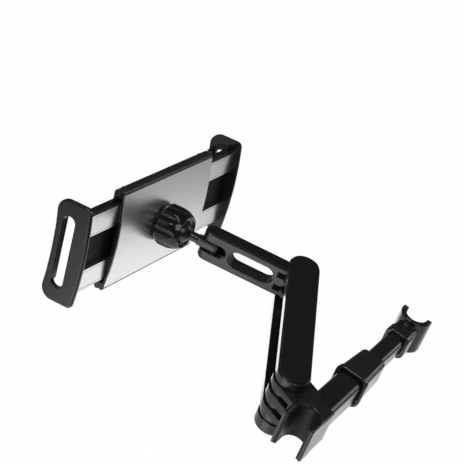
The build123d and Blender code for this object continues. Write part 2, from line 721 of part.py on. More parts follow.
# Ball stem: tongue, neck and ball in one piece
with BuildPart() as ball_stem:
    with BuildSketch(stem_plane.offset(-tongue_thickness / 2)):
        with Locations((tongue_length / 2, 0)):
            SlotCenterToCenter(tongue_length, tongue_width)
    extrude(amount=tongue_thickness)
    fillet(ball_stem.edges().group_by(Axis.Z)[-1], radius=1.2)
    fillet(ball_stem.edges().group_by(Axis.Z)[0], radius=1.2)
    with BuildSketch(Plane(origin=wrist, x_dir=(0, 0, 1), z_dir=upper_dir).offset(neck_start)):
        Circle(neck_radius)
    extrude(amount=stem_length - neck_start)
    with Locations(ball_centre):
        Sphere(ball_radius)
    with BuildSketch(stem_plane.offset(-tongue_thickness / 2)):
        Circle(wrist_bore)
    extrude(amount=tongue_thickness, mode=Mode.SUBTRACT)
ball_stem.part.label = "ball_stem"
export_step(ball_stem.part, "parts/ball_stem.step")

# Plastic seat around the ball, a cup cut off below the ball's middle
rim = radians(seat_rim_angle)
rim_inner = (seat_inner * cos(rim), -seat_inner * sin(rim))
rim_outer = (seat_outer * cos(rim), -seat_outer * sin(rim))
half = radians((90 + seat_rim_angle) / 2)
cradle_profile = Plane(origin=ball_centre, x_dir=cradle_across, z_dir=-cradle_up)
cradle_axis = Axis(ball_centre, cradle_normal)
with BuildPart() as ball_seat:
    with BuildSketch(cradle_profile):
        with BuildLine():
            Line((0, -seat_outer), (0, -seat_inner))
            ThreePointArc((0, -seat_inner), (seat_inner * cos(half), -seat_inner * sin(half)), rim_inner)
            Line(rim_inner, rim_outer)
            ThreePointArc(rim_outer, (seat_outer * cos(half), -seat_outer * sin(half)), (0, -seat_outer))
        make_face()
    revolve(axis=cradle_axis)
ball_seat.part.label = "ball_seat"
export_step(ball_seat.part, "parts/ball_seat.step")

# Socket cup on the front shell
socket_shoulder = seat_level - 1.6
socket_rim = 2 * free
with BuildPart() as ball_socket:
    with BuildSketch(cradle_profile):
        with BuildLine():
            Polyline(
                (0, -socket_inner),
                (0, -seat_level),
                (socket_stub, -seat_level),
                (socket_stub, -socket_shoulder),
                (socket_outer, -socket_shoulder),
                (socket_outer, -socket_rim),
                (sqrt(socket_inner**2 - socket_rim**2), -socket_rim),
            )
            ThreePointArc(
                (sqrt(socket_inner**2 - socket_rim**2), -socket_rim),
                (socket_inner * cos(radians(45)), -socket_inner * sin(radians(45))),
                (0, -socket_inner),
            )
        make_face()
    revolve(axis=cradle_axis)
    with BuildSketch(cradle_plane.offset(-seat_level)):
        with PolarLocations(socket_stub - 3.6, 3, start_angle=30):
            Circle(screw_bore)
    extrude(amount=2.2, mode=Mode.SUBTRACT)
ball_socket.part.label = "ball_socket"
export_step(ball_socket.part, "parts/ball_socket.step")

# Screws from inside the box into the socket
with BuildPart() as ball_socket_screws:
    with BuildSketch(cradle_plane.offset(-cavity_roof)):
        with PolarLocations(socket_stub - 3.6, 3, start_angle=30):
            Circle(screw_head_radius - 0.4)
    extrude(amount=-screw_head_height)
    with BuildSketch(cradle_plane.offset(-cavity_roof)):
        with PolarLocations(socket_stub - 3.6, 3, start_angle=30):
            Circle(screw_radius)
    extrude(amount=cavity_roof - seat_level + 2)
ball_socket_screws.part.label = "ball_socket_screws"
export_step(ball_socket_screws.part, "parts/ball_socket_screws.step")

# Lobed lock nut: a dome with a flared mouth around the ball
lip_level = 2.7
lip_inner = sqrt(seat_inner**2 - lip_level**2)
with BuildPart() as lock_nut:
    with BuildSketch(cradle_profile):
        with BuildLine():
            Polyline(
                (nut_inner, -free),
                (nut_inner, nut_foot),
                (nut_outer - 1, nut_foot),
                (nut_outer, nut_foot + 2),
            )
            Line((nut_outer, nut_foot + 2), (nut_outer, -4))
            ThreePointArc((nut_outer, -4), (nut_outer - 1.1, 1), (mouth_width / 2 + 0.7, mouth_height))
            Line((mouth_width / 2 + 0.7, mouth_height), (mouth_width / 2, mouth_height))
            Polyline(
                (mouth_width / 2, mouth_height),
                (mouth_width / 2 - mouth_chamfer, mouth_height - mouth_chamfer),
                (mouth_width / 2 - 1.2 * mouth_chamfer, lip_level + free),
                (lip_inner, lip_level),
            )
            ThreePointArc(
                (lip_inner, lip_level),
                (sqrt(seat_inner**2 - (lip_level / 2) ** 2), lip_level / 2),
                (sqrt(seat_inner**2 - free**2), -free),
            )
            Line((sqrt(seat_inner**2 - free**2), -free), (nut_inner, -free))
        make_face()
    revolve(axis=cradle_axis)
    with BuildSketch(cradle_plane.offset(nut_foot)):
        with PolarLocations(nut_outer - nut_scallop + nut_scallop_radius, nut_lobes):
            Circle(nut_scallop_radius)
    extrude(amount=nut_height, mode=Mode.SUBTRACT)
lock_nut.part.label = "lock_nut"
export_step(lock_nut.part, "parts/lock_nut.step")

# Screw places on the box
shell_screw_up = (cavity_height + cradle_height) / 4
shell_screw_places = GridLocations(cradle_width - 2 * shell_screw_inset, 2 * shell_screw_up, 2, 2)

# Front shell: bowed roof, rolled edges and open ends for the slides
crown_end = (crown_edge, -crown_level - crown_drop)
seam_end = (crown_edge + cradle_edge * 0.6, -seam_level)
front_roll = (crown_edge + cradle_edge, -(crown_level + crown_drop + seam_level) / 2)
with BuildPart() as front_shell:
    with BuildSketch(section_plane.offset(-cradle_width / 2)):
        with BuildLine():
            ThreePointArc((-crown_end[0], crown_end[1]), (0, -crown_level), crown_end)
            ThreePointArc(crown_end, front_roll, seam_end)
            Line(seam_end, (-seam_end[0], seam_end[1]))
            ThreePointArc(
                (-seam_end[0], seam_end[1]), (-front_roll[0], front_roll[1]), (-crown_end[0], crown_end[1])
            )
        make_face()
        with Locations((0, -(seam_level + cavity_roof) / 2)):
            Rectangle(cavity_height, seam_level - cavity_roof, mode=Mode.SUBTRACT)
    extrude(amount=cradle_width)
    with BuildSketch(cradle_plane.offset(-seat_level)):
        Circle(socket_stub + snug)
    extrude(amount=seat_level, mode=Mode.SUBTRACT)
    with BuildSketch(cradle_plane.offset(-cavity_roof)):
        with PolarLocations(socket_stub - 3.6, 3, start_angle=30):
            Circle(screw_bore)
    extrude(amount=cavity_roof - seat_level, mode=Mode.SUBTRACT)
    with BuildSketch(cradle_plane.offset(-seam_level)):
        with shell_screw_places:
            Circle(screw_bore)
    extrude(amount=1.6, mode=Mode.SUBTRACT)
front_shell.part.label = "front_shell"
export_step(front_shell.part, "parts/front_shell.step")

# Back shell: floor and rolled edges
floor_end = (crown_edge + cradle_edge * 0.2, -shell_back)
back_roll = (crown_edge + cradle_edge, -(shell_back + seam_level) / 2)
with BuildPart() as back_shell:
    with BuildSketch(section_plane.offset(-cradle_width / 2)):
        with BuildLine():
            Line((-seam_end[0], seam_end[1]), seam_end)
            ThreePointArc(seam_end, back_roll, floor_end)
            Line(floor_end, (-floor_end[0], floor_end[1]))
            ThreePointArc(
                (-floor_end[0], floor_end[1]), (-back_roll[0], back_roll[1]), (-seam_end[0], seam_end[1])
            )
        make_face()
        with Locations((0, -(seam_level + cavity_floor) / 2)):
            Rectangle(cavity_height, cavity_floor - seam_level, mode=Mode.SUBTRACT)
    extrude(amount=cradle_width)
    with BuildSketch(cradle_plane.offset(-shell_back)):
        with shell_screw_places:
            Circle(screw_bore)
    extrude(amount=shell_back - seam_level, mode=Mode.SUBTRACT)
    with BuildSketch(cradle_plane.offset(-shell_back)):
        with shell_screw_places:
            Circle(screw_head_radius + snug)
    extrude(amount=screw_head_height, mode=Mode.SUBTRACT)
back_shell.part.label = "back_shell"
export_step(back_shell.part, "parts/back_shell.step")

# Screws that join the two shells, from the tablet's side
with BuildPart() as shell_screws:
    with BuildSketch(cradle_plane.offset(-shell_back)):
        with shell_screw_places:
            Circle(screw_head_radius)
    extrude(amount=screw_head_height)
    with BuildSketch(cradle_plane.offset(-shell_back)):
        with shell_screw_places:
            Circle(screw_radius)
    extrude(amount=shell_back - seam_level + 1.5)
shell_screws.part.label = "shell_screws"
export_step(shell_screws.part, "parts/shell_screws.step")

# Bowed aluminium face plate
plate_width = cradle_width - 2 * plate_margin
with BuildPart() as face_plate:
    with BuildSketch(section_plane.offset(-plate_width / 2)):
        with BuildLine():
            ThreePointArc((-crown_end[0], crown_end[1]), (0, -crown_level), crown_end)
            Line(crown_end, (crown_end[0], crown_end[1] + plate_thickness))
            ThreePointArc(
                (crown_end[0], crown_end[1] + plate_thickness),
                (0, plate_thickness - crown_level),
                (-crown_end[0], crown_end[1] + plate_thickness),
            )
            Line((-crown_end[0], crown_end[1] + plate_thickness), (-crown_end[0], crown_end[1]))
        make_face()
    extrude(amount=plate_width)
    with BuildSketch(cradle_plane.offset(-seat_level)):
        Circle(socket_stub + 2 * snug)
    extrude(amount=seat_level, mode=Mode.SUBTRACT)
face_plate.part.label = "face_plate"
export_step(face_plate.part, "parts/face_plate.step")

# Rubber sheet against the tablet
with BuildPart() as back_pad:
    with BuildSketch(cradle_plane.offset(-tablet_face)):
        RectangleRounded(back_pad_width, back_pad_height, 5)
    extrude(amount=back_pad_thickness)
back_pad.part.label = "back_pad"
export_step(back_pad.part, "parts/back_pad.step")

# Jaws, each with its pad, slider, rails and screws
rail_length = jaw_inner - slider_inner_end
half_jaw = jaw_height / 2
for side, hand in ((-1, "left"), (1, "right")):
    wall_plane = section_plane.offset(side * jaw_inner)

    with BuildPart() as jaw:
        with BuildSketch(wall_plane) as jaw_outline:
            with BuildLine():
                ThreePointArc((-half_jaw, -jaw_shoulder), (0, -jaw_back), (half_jaw, -jaw_shoulder))
                Line((half_jaw, -jaw_shoulder), (half_jaw, -jaw_front))
                ThreePointArc((half_jaw, -jaw_front), (0, jaw_waist - jaw_front), (-half_jaw, -jaw_front))
                Line((-half_jaw, -jaw_front), (-half_jaw, -jaw_shoulder))
            make_face()
            fillet(jaw_outline.vertices().sort_by(Axis.Y)[:2], radius=jaw_corner)
            fillet(jaw_outline.vertices().sort_by(Axis.Y)[-2:], radius=jaw_back_corner)
        extrude(amount=side * jaw_wall)
        outer_face = jaw.faces().sort_by(Axis(ball_centre, cradle_across))[-1 if side > 0 else 0]
        fillet(outer_face.edges(), radius=jaw_edge)
        with BuildSketch(wall_plane):
            with Locations((0, -jaw_window_level)):
                SlotOverall(jaw_window_length, jaw_window_width)
        extrude(amount=side * jaw_wall, mode=Mode.SUBTRACT)
        with BuildSketch(wall_plane):
            with Locations((0, -jaw_lip_level - jaw_lip_thickness / 2)):
                Rectangle(jaw_height - 3 * jaw_corner, jaw_lip_thickness)
        extrude(amount=-side * jaw_lip)
        with BuildSketch(wall_plane):
            with Locations((0, -(tablet_face + slider_foot) / 2)):
                Rectangle(cavity_height - 2 * free, tablet_face - slider_foot)
        extrude(amount=-side * jaw_ledge)
        with BuildSketch(cradle_plane.offset(-tablet_face)):
            with Locations(
                (side * (jaw_inner - jaw_ledge / 2), rail_centre),
                (side * (jaw_inner - jaw_ledge / 2), -rail_centre),
            ):
                Circle(screw_bore)
        extrude(amount=tablet_face - slider_foot, mode=Mode.SUBTRACT)
    jaw.part.label = f"{hand}_jaw"
    export_step(jaw.part, f"parts/{hand}_jaw.step")

    with BuildPart() as jaw_pad:
        with BuildSketch(wall_plane):
            with Locations((0, -jaw_window_level)):
                SlotOverall(jaw_window_length + 8, 2 * (jaw_lip_level - jaw_window_level - snug))
                SlotOverall(jaw_window_length, jaw_window_width, mode=Mode.SUBTRACT)
            with Locations((0, tablet_face / 2 - tablet_face)):
                Rectangle(jaw_height, tablet_face, mode=Mode.SUBTRACT)
        extrude(amount=-side * jaw_pad_thickness)
    jaw_pad.part.label = f"{hand}_jaw_pad"
    export_step(jaw_pad.part, f"parts/{hand}_jaw_pad.step")

    with BuildPart() as slider:
        with BuildSketch(cradle_plane.offset(-slider_foot)):
            with Locations((side * (slider_inner_end + rail_length / 2), 0)):
                Rectangle(rail_length, cavity_height - 2 * free)
        extrude(amount=slider_thickness)
        with BuildSketch(cradle_plane.offset(-slider_foot)):
            with Locations(
                (side * (jaw_inner - jaw_ledge / 2), rail_centre),
                (side * (jaw_inner - jaw_ledge / 2), -rail_centre),
            ):
                Circle(screw_bore)
        extrude(amount=slider_thickness, mode=Mode.SUBTRACT)
        with BuildSketch(cradle_plane.offset(-rail_foot)):
            with Locations((side * (slider_inner_end + 2), 0)):
                Circle(spring_post_radius)
        extrude(amount=rail_thickness - free)
    slider.part.label = f"{hand}_slider"
    export_step(slider.part, f"parts/{hand}_slider.step")

    for place, up in (("upper", rail_centre), ("lower", -rail_centre)):
        with BuildPart() as rail:
            with BuildSketch(cradle_plane.offset(-rail_foot)):
                with Locations((side * (slider_inner_end + rail_length / 2), up)):
                    Rectangle(rail_length, rail_width)
            extrude(amount=rail_thickness)
            with BuildSketch(cradle_plane.offset(rail_thickness - rail_foot)):
                for edge in (-1, 1):
                    with Locations(
                        (
                            side * (slider_inner_end + rail_length / 2),
                            up + edge * (rail_width / 2 - rail_groove_inset),
                        )
                    ):
                        Rectangle(rail_length, rail_groove)
            extrude(amount=-rail_groove, mode=Mode.SUBTRACT)
        rail.part.label = f"{hand}_{place}_rail"
        export_step(rail.part, f"parts/{hand}_{place}_rail.step")

    with BuildPart() as jaw_screws:
        with BuildSketch(cradle_plane.offset(-tablet_face)):
            with Locations(
                (side * (jaw_inner - jaw_ledge / 2), rail_centre),
                (side * (jaw_inner - jaw_ledge / 2), -rail_centre),
            ):
                Circle(screw_radius)
        extrude(amount=tablet_face - rail_foot)
    jaw_screws.part.label = f"{hand}_jaw_screws"
    export_step(jaw_screws.part, f"parts/{hand}_jaw_screws.step")

# Tension spring between the two sliders
jaw_spring_reach = slider_inner_end + 2 - spring_post_radius - jaw_spring_wire + snug
jaw_spring_level = (rail_foot + cavity_roof) / 2
spring_start = cradle_plane.from_local_coords((-jaw_spring_reach, 0, -jaw_spring_level))
with BuildPart() as jaw_spring:
    with BuildLine() as jaw_coil:
        Helix(
            2 * jaw_spring_reach / jaw_spring_turns,
            2 * jaw_spring_reach,
            jaw_spring_radius,
            center=spring_start,
            direction=cradle_across,
        )
    with BuildSketch(Plane(origin=jaw_coil.line @ 0, z_dir=jaw_coil.line % 0)):
        Circle(jaw_spring_wire)
    sweep(path=jaw_coil.line, is_frenet=True)
jaw_spring.part.label = "jaw_spring"
export_step(jaw_spring.part, "parts/jaw_spring.step")
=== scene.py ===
# %% [markdown]
# # A headrest mount with a spring cradle, dressed in Blender
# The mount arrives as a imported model: every moulding, tube, pin and screw is already solid and in
# its place, in metres. This lesson gives each of them a finish, adds the details that are easier to
# draw as surfaces than as solids, and lights the whole thing like a product on white paper.

# %% Load the fixed frame
import json
import math

import bpy
import numpy as np
from mathutils import Matrix, Vector


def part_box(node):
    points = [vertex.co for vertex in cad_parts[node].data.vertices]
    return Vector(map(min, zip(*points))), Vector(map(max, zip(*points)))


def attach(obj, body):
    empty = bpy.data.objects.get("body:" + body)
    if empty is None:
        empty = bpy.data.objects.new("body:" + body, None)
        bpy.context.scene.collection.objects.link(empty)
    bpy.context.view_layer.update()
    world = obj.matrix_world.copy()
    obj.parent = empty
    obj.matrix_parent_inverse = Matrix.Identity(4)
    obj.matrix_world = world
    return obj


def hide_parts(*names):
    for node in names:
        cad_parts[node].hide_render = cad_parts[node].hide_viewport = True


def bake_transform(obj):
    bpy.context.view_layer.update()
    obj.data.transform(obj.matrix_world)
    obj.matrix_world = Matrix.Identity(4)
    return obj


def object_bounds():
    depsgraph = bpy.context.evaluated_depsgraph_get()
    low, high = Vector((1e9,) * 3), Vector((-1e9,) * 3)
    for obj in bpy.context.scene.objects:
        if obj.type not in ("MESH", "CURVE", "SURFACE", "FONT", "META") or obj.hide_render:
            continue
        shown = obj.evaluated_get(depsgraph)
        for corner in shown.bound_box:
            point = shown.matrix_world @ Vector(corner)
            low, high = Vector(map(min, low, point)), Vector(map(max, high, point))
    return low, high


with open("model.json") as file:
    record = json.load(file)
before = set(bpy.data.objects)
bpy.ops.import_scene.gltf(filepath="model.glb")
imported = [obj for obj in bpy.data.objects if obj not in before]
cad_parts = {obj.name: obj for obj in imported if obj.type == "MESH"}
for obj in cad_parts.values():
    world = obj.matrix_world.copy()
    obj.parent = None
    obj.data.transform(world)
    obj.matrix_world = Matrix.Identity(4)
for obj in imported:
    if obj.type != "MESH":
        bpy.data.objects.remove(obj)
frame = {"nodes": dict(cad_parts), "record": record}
cad_box = [list(corner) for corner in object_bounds()]
nodes = frame["nodes"]
joints = {joint["name"]: joint for joint in frame["record"]["behaviour"]["joints"]}
MM = 0.001
print("nodes:", len(nodes), "box in mm:", [[round(x / MM, 1) for x in corner] for corner in cad_box])

# %% [markdown]
# ## The cradle's own directions
# The cradle hangs on its ball a little tilted, so nothing on it lines up with X, Y or Z. Typing its
# angles again would be one more place to make a mistake. The joints already know them: the nod turns
# about the direction across the cradle, the turn about its height, and the spin about its normal.

# %% Read the cradle's axes from the joints
cradle_centre = np.array(joints["cradle_spin"]["pos_m"])
across = np.array(joints["ball_nod"]["axis"])
upward = np.array(joints["ball_turn"]["axis"])
outward = np.array(joints["cradle_spin"]["axis"])
cradle_axes = np.array([across, upward, outward])
cradle_turn = Matrix(cradle_axes.tolist()).to_euler()
print("cradle normal:", outward.round(3))

# %% [markdown]
# ## One helper for shader nodes and one for colours
# A material is a small graph. Each call of the first helper adds one node, sets its menus, and fills
# its inputs with either a number or another node's output. Colours are written as they look on screen,
# in sRGB, and the second helper turns them into the linear values that a renderer works with. A noise
# keeps mostly to the middle of its range, so two more values say which stretch of it is used.

# %% Helpers for materials
noise_low, noise_high = 0.3, 0.7


def linear(hex_colour):
    """sRGB hex to linear RGBA: each channel c becomes ((c + 0.055) / 1.055) ** 2.4 above the toe."""
    srgb = np.array([int(hex_colour[i : i + 2], 16) for i in (1, 3, 5)]) / 255
    value = np.where(srgb <= 0.04045, srgb / 12.92, ((srgb + 0.055) / 1.055) ** 2.4)
    return (*value.tolist(), 1.0)


def add(tree, kind, settings=None, **inputs):
    """Adds a node, sets its menus, and gives each input a value or a link. An input goes by its name,
    with _ for a space, or by i and its number where several inputs have the same name."""
    node = tree.nodes.new(kind)
    for name, value in (settings or {}).items():
        setattr(node, name, value)
    for name, value in inputs.items():
        numbered = name[0] == "i" and name[1:].isdigit()
        socket = node.inputs[int(name[1:]) if numbered else name.replace("_", " ")]
        if isinstance(value, bpy.types.NodeSocket):
            tree.links.new(value, socket)
        else:
            socket.default_value = value
    return node


def new_material(name):
    """A material with an empty graph, its output and its Object coordinates."""
    material = bpy.data.materials.new(name)
    material.use_nodes = True
    tree = material.node_tree
    tree.nodes.clear()
    output = add(tree, "ShaderNodeOutputMaterial")
    place = add(tree, "ShaderNodeTexCoord").outputs["Object"]
    return material, tree, output, place


def dress(material, *names):
    """Puts one material in every slot of the named nodes."""
    for name in names:
        for place in nodes[name].material_slots:
            place.material = material
    print(material.name, "on", len(names), "nodes")


print("a middle grey is", round(linear("#808080")[0], 3), "in linear light")

# %% [markdown]
# ## Moulded ABS
# Almost everything black here is one satin ABS. The mould was polished and then lightly blasted, so the
# skin is smooth enough to mirror white paper at a shallow angle, and just rough enough to blur it. A
# real blast grain is about 0.1 mm and would vanish at this size, so it is drawn at 0.7 mm and kept very
# shallow. A slow cloud varies the gloss, as handling and cooling do. A Bevel node turns the normals near
# each edge as if the edge were rounder, which gives the thin bright lines that a moulded edge shows.

# %% Moulded ABS
abs_cloud = 30.0
blast_grain = 0.7
glossier, duller = 0.04, 0.05


def moulded_abs(name, colour, paler, gloss, edge, depth=0.02):
    """Black ABS, sizes in mm: colour and roughness follow the cloud, the blast grain makes the bump,
    and the normals are rounded within the edge's radius."""
    material, tree, output, place = new_material(name)
    clouds = add(tree, "ShaderNodeTexNoise", Vector=place, Scale=1 / (abs_cloud * MM), Detail=3.0)
    cloud = clouds.outputs["Fac"]
    grains = add(tree, "ShaderNodeTexNoise", Vector=place, Scale=1 / (blast_grain * MM), Detail=2.0)
    tone = add(
        tree, "ShaderNodeMix", {"data_type": "RGBA"}, Factor=cloud, i6=linear(colour), i7=linear(paler)
    )
    rough = add(
        tree,
        "ShaderNodeMapRange",
        Value=cloud,
        From_Min=noise_low,
        From_Max=noise_high,
        To_Min=gloss - glossier,
        To_Max=gloss + duller,
    )
    round_edge = add(tree, "ShaderNodeBevel", {"samples": 6}, Radius=edge * MM)
    bump = add(
        tree,
        "ShaderNodeBump",
        Strength=0.25,
        Distance=depth * MM,
        Height=grains.outputs["Fac"],
        Normal=round_edge.outputs[0],
    )
    shader = add(
        tree,
        "ShaderNodeBsdfPrincipled",
        Base_Color=tone.outputs[2],
        Roughness=rough.outputs[0],
        IOR=1.53,
        Normal=bump.outputs[0],
    )
    tree.links.new(shader.outputs[0], output.inputs["Surface"])
    return material


satin_abs = moulded_abs("satin black ABS", "#101011", "#161617", gloss=0.24, edge=0.9)
polished_abs = moulded_abs("polished black ABS", "#070708", "#0b0b0c", gloss=0.1, edge=0.9, depth=0.006)
drawn_abs = moulded_abs("extruded black ABS", "#0b0b0c", "#101011", gloss=0.2, edge=0.6, depth=0.008)
dress(
    satin_abs,
    "base_block", "far_saddle", "tube_collar", "lower_arm_frame", "base_hinge_cap", "upper_arm_frame",
    "front_shell", "back_shell", "left_jaw", "right_jaw", "ball_stem", "ball_socket",
)
dress(polished_abs, "lock_nut")
dress(drawn_abs, "outer_tube", "inner_tube")

# %% [markdown]
# ## Soft-touch inlays, nylon and rubber
# The arm's long faces are pads with a soft-touch lacquer: nearly as black as the plastic, but matte, so
# they stay dark where the plastic beside them shines. Rubber is matte too, with a coarser skin. The nylon
# of the washers, the guide and the jaws' sliders is waxy, between the two. All three are the same recipe
# with other numbers. Their real grain is finer than 0.3 mm, and it is drawn at about 1 mm so that it shows.

# %% Matte blacks
matte_cloud = 18.0
matte_spread = 0.06
matte_edge = 0.5


def matte_black(name, colour, paler, roughness, grain, depth, level, sheen):
    """A matte black skin, sizes in mm: the cloud tints it, the grain is in the bump and the roughness,
    and a weak sheen is the same all over."""
    material, tree, output, place = new_material(name)
    clouds = add(tree, "ShaderNodeTexNoise", Vector=place, Scale=1 / (matte_cloud * MM), Detail=4.0)
    cloud = clouds.outputs["Fac"]
    grains = add(tree, "ShaderNodeTexNoise", Vector=place, Scale=1 / (grain * MM), Detail=3.0)
    tone = add(
        tree, "ShaderNodeMix", {"data_type": "RGBA"}, Factor=cloud, i6=linear(colour), i7=linear(paler)
    )
    rough = add(
        tree,
        "ShaderNodeMapRange",
        Value=grains.outputs["Fac"],
        From_Min=noise_low,
        From_Max=noise_high,
        To_Min=roughness - matte_spread,
        To_Max=roughness + matte_spread,
    )
    round_edge = add(tree, "ShaderNodeBevel", {"samples": 6}, Radius=matte_edge * MM)
    bump = add(
        tree,
        "ShaderNodeBump",
        Strength=0.3,
        Distance=depth * MM,
        Height=grains.outputs["Fac"],
        Normal=round_edge.outputs[0],
    )
    shader = add(
        tree,
        "ShaderNodeBsdfPrincipled",
        Base_Color=tone.outputs[2],
        Roughness=rough.outputs[0],
        IOR=1.5,
        Specular_IOR_Level=level,
        Sheen_Weight=sheen,
        Sheen_Roughness=0.4,
        Normal=bump.outputs[0],
    )
    tree.links.new(shader.outputs[0], output.inputs["Surface"])
    return material


soft_touch = matte_black(
    "soft-touch lacquer", "#0d0d0d", "#111111", roughness=0.5, grain=0.8, depth=0.03, level=0.22, sheen=0.01
)
moulded_rubber = matte_black(
    "moulded rubber", "#090909", "#0d0d0d", roughness=0.5, grain=1.0, depth=0.04, level=0.35, sheen=0.01
)
black_nylon = matte_black(
    "black nylon", "#0b0b0b", "#101010", roughness=0.55, grain=0.9, depth=0.03, level=0.15, sheen=0.0
)
dress(soft_touch, "lower_arm_top_pad", "lower_arm_bottom_pad", "upper_arm_top_pad", "upper_arm_bottom_pad")
dress(moulded_rubber, "base_saddle_liner", "far_saddle_liner", "back_pad", "left_jaw_pad", "right_jaw_pad")
dress(black_nylon, "inner_tube_guide", "ball_seat", "wrist_washers", "left_slider", "right_slider")

# %% [markdown]
# ## Brushed aluminium and plated steel
# The bowed plate was brushed along its length before it was bent, and the rails are rolled strip. Brushing
# leaves scratches many centimetres long and a few hundredths of a millimetre wide. A noise squeezed in one
# direction gives such streaks, after a Mapping node has turned it into the cradle's own directions. The
# scratches are drawn about 0.5 mm wide so that they survive at this size. The screws, pins and springs are
# zinc-plated steel, with shorter streaks from drawing and rolling.

# %% Metals
brighter, rougher = 0.02, 0.03


def streaked_metal(name, colour, darker, roughness, streak, depth, stretch=60.0):
    """A metal with streaks along the cradle, so many mm wide and as many times longer as the stretch:
    colour, roughness and bump all follow the stretched noise."""
    material, tree, output, place = new_material(name)
    turned = add(tree, "ShaderNodeMapping", Vector=place, Rotation=cradle_turn)
    squeezed = add(tree, "ShaderNodeMapping", Vector=turned.outputs[0], Scale=(1 / stretch, 1.0, 1.0))
    noise = add(tree, "ShaderNodeTexNoise", Vector=squeezed.outputs[0], Scale=1 / (streak * MM), Detail=3.0)
    streaks = noise.outputs["Fac"]
    tone = add(
        tree, "ShaderNodeMix", {"data_type": "RGBA"}, Factor=streaks, i6=linear(darker), i7=linear(colour)
    )
    rough = add(
        tree,
        "ShaderNodeMapRange",
        Value=streaks,
        From_Min=noise_low,
        From_Max=noise_high,
        To_Min=roughness + rougher,
        To_Max=roughness - brighter,
    )
    bump = add(tree, "ShaderNodeBump", Strength=0.2, Distance=depth * MM, Height=streaks)
    shader = add(
        tree,
        "ShaderNodeBsdfPrincipled",
        Base_Color=tone.outputs[2],
        Metallic=1.0,
        Roughness=rough.outputs[0],
        Normal=bump.outputs[0],
    )
    tree.links.new(shader.outputs[0], output.inputs["Surface"])
    return material


brushed_aluminium = streaked_metal(
    "brushed aluminium", "#e0e0e0", "#dbdbdc", roughness=0.31, streak=0.4, depth=0.001
)
rolled_strip = streaked_metal(
    "rolled aluminium strip", "#e8e8e8", "#dedede", roughness=0.26, streak=0.5, depth=0.002
)
plated_steel = streaked_metal(
    "zinc-plated steel", "#a9abae", "#85878b", roughness=0.3, streak=0.4, depth=0.01, stretch=3.0
)
dress(brushed_aluminium, "face_plate")
dress(rolled_strip, "left_upper_rail", "left_lower_rail", "right_upper_rail", "right_lower_rail")
dress(
    plated_steel,
    "outer_tube_screw", "tube_collar_screw", "far_saddle_screw", "base_hinge_pin", "base_hinge_nut",
    "elbow_pin", "elbow_nut", "wrist_pin", "wrist_nut", "ball_socket_screws", "shell_screws",
    "left_jaw_screws", "right_jaw_screws", "bar_spring", "jaw_spring",
)

# %% [markdown]
# ## From rows of points to a closed surface
# Each new piece below is a stack of closed rings, every ring with the same number of points: a section
# that is swept, a dome of circles, or a wire that is wound. So one helper can join any of them with
# four-sided faces and close both ends, and another can turn the result into an object. Two more go from
# the frame's metres to millimetres in the cradle's own directions, and back.

# %% Helpers for surfaces
crease = math.radians(35)


def in_cradle(name):
    """A node's vertices in millimetres along the cradle's own three directions."""
    mesh = nodes[name].data
    flat = np.empty(3 * len(mesh.vertices), dtype=np.float32)
    mesh.vertices.foreach_get("co", flat)
    return (flat.reshape(-1, 3) - cradle_centre) @ cradle_axes.T / MM


def from_cradle(points):
    """The way back: millimetres along the cradle's directions to metres in the frame."""
    return cradle_centre + points * MM @ cradle_axes


def ring_faces(rings, sides, start=0):
    """Joins point j of ring i to point j + 1 and to the same two of ring i + 1, and closes both ends.
    Points are counted ring by ring from the start."""
    i, j = np.meshgrid(np.arange(rings - 1), np.arange(sides), indexing="ij")
    k = (j + 1) % sides
    corners = [i * sides + j, i * sides + k, (i + 1) * sides + k, (i + 1) * sides + j]
    quads = start + np.stack(corners, axis=2).reshape(-1, 4)
    first = start + np.arange(sides)[::-1]
    last = start + np.arange((rings - 1) * sides, rings * sides)
    return [*quads.tolist(), first.tolist(), last.tolist()]


def new_piece(name, points, faces, material, sharp_above=None):
    """An object of points in metres, shaded smooth except at edges that turn by more than an angle."""
    mesh = bpy.data.meshes.new(name)
    mesh.from_pydata(points.tolist(), [], faces)
    mesh.materials.append(material)
    mesh.shade_smooth()
    if sharp_above is not None:
        mesh.set_sharp_from_angle(angle=sharp_above)
    piece = bpy.data.objects.new(name, mesh)
    bpy.context.collection.objects.link(piece)
    print(name, len(mesh.polygons), "faces")
    return piece


print("two rings of six points make", len(ring_faces(2, 6)), "faces")

# %% [markdown]
# ## A ribbed rubber pad
# Whatever the cradle carries leans on a sheet of rubber, moulded with upright ribs that grip it and let
# air past. The solid model has it as a plain sheet, so it is drawn again here, as a section that is swept
# across the cradle: a closed loop that is as tall as the rounded outline allows at each station, and
# thinner in the grooves. The plain sheet gives the sizes, so the new pad fills exactly its place.

# %% Ribbed pad
pad_corner = 6.0
rib_pitch = 3.0
rib_depth = 0.35
plain_border = 4.0
rib_ramp = 0.8
rim_width, rim_drop = 0.8, 0.4


